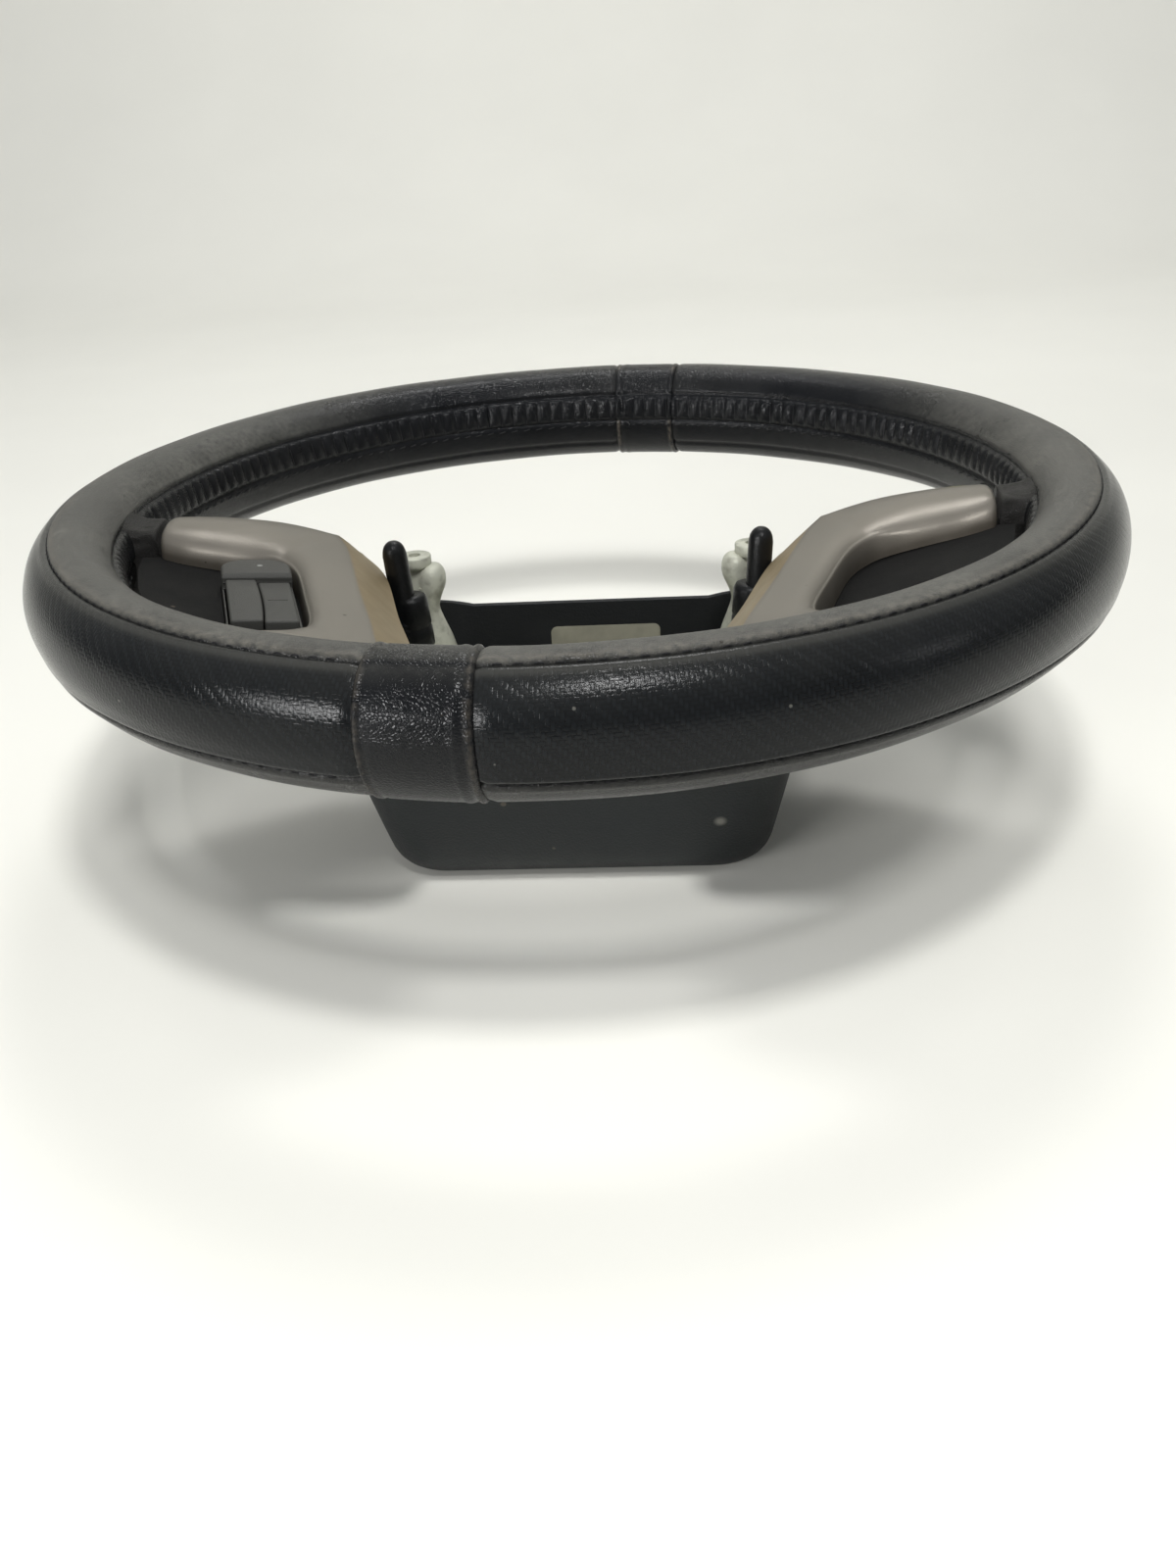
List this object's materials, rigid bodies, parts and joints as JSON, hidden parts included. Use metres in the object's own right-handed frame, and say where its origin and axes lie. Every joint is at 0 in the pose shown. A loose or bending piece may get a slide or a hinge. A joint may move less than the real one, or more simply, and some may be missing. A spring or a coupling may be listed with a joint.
{
  "type": "car steering wheel",
  "caption": "Leather-covered car steering wheel without its airbag: laced grip, cast armature with splined bush, silver spoke bezels, switch pod with keys, and a rear cover it stands on.",
  "frame": {"origin": "middle of the wheel, on the plane that the rear cover stands on", "axes": "+Z along the column towards the driver, +Y to 12 o'clock, +X to 3 o'clock"},
  "size_m": [0.384, 0.384, 0.1304],
  "materials": {
    "embossed_leather": "embossed black leather, worn to a shine",
    "smooth_leather": "smooth leather, dusty and rubbed grey",
    "thread": "waxed black thread",
    "foam": "moulded polyurethane foam",
    "core_steel": "plain steel",
    "cast_metal": "die-cast, grey-green passivated",
    "machined_steel": "turned steel",
    "silver_paint": "satin warm silver paint on plastic, specked",
    "dark_plastic": "fine-grained black plastic",
    "rear_plastic": "grained black plastic",
    "collar_rubber": "dark moulded sleeve",
    "key_plastic": "satin grey plastic",
    "lens_plastic": "clear lens, frosted",
    "silicone": "grey silicone",
    "board": "green circuit board",
    "pin_plastic": "black moulded pin",
    "screw_steel": "zinc-plated steel",
    "label_paper": "blank cream sticker"
  },
  "bodies": {
    "wheel": {"rim_core": "core_steel", "rim_foam": "foam", "cover_outer_left": "embossed_leather", "cover_outer_right": "embossed_leather", "cover_front_left": "smooth_leather", "cover_front_right": "smooth_leather", "cover_back_left": "smooth_leather", "cover_back_right": "smooth_leather", "cover_joint_near": "smooth_leather", "cover_joint_far": "smooth_leather", "lacing_upper": "thread", "lacing_right": "thread", "lacing_left": "thread", "lacing_lower": "thread", "armature": "cast_metal", "hub_insert": "machined_steel", "bezel_left": "silver_paint", "bezel_right": "silver_paint", "panel_left": "dark_plastic", "panel_right": "dark_plastic", "spoke_shell_left": "rear_plastic", "spoke_shell_right": "rear_plastic", "collar_upper_left": "collar_rubber", "collar_upper_right": "collar_rubber", "collar_lower_left": "collar_rubber", "collar_lower_right": "collar_rubber", "bezel_screw_left_1": "screw_steel", "bezel_screw_left_2": "screw_steel", "bezel_screw_right_1": "screw_steel", "bezel_screw_right_2": "screw_steel", "guide_pin_left": "pin_plastic", "guide_pin_right": "pin_plastic", "rear_cover": "rear_plastic", "cover_screw_1": "screw_steel", "cover_screw_2": "screw_steel", "cover_screw_3": "screw_steel", "cover_screw_4": "screw_steel", "label": "label_paper", "switch_housing": "key_plastic", "indicator_lens": "lens_plastic", "switch_mat": "silicone", "switch_board": "board", "switch_back": "dark_plastic"},
    "mode_button": {"mode_key": "key_plastic"},
    "rocker": {"rocker_key": "key_plastic"}
  },
  "joints": [
    {"name": "mode_press", "type": "slide", "parent": "wheel", "child": "mode_button", "axis": [-0.1317, -0.0451, -0.9903], "range_m": [0, 0.0015], "stiffness_N_per_m": 1500, "springref_m": -0.001},
    {"name": "rocker_tilt", "type": "hinge", "parent": "wheel", "child": "rocker", "pos_m": [-0.09542, -0.06756, 0.10037], "axis": [0.9369, 0.3208, -0.1392], "range_deg": [-4.5, 4.5], "stiffness_Nm_per_rad": 0.34}
  ]
}
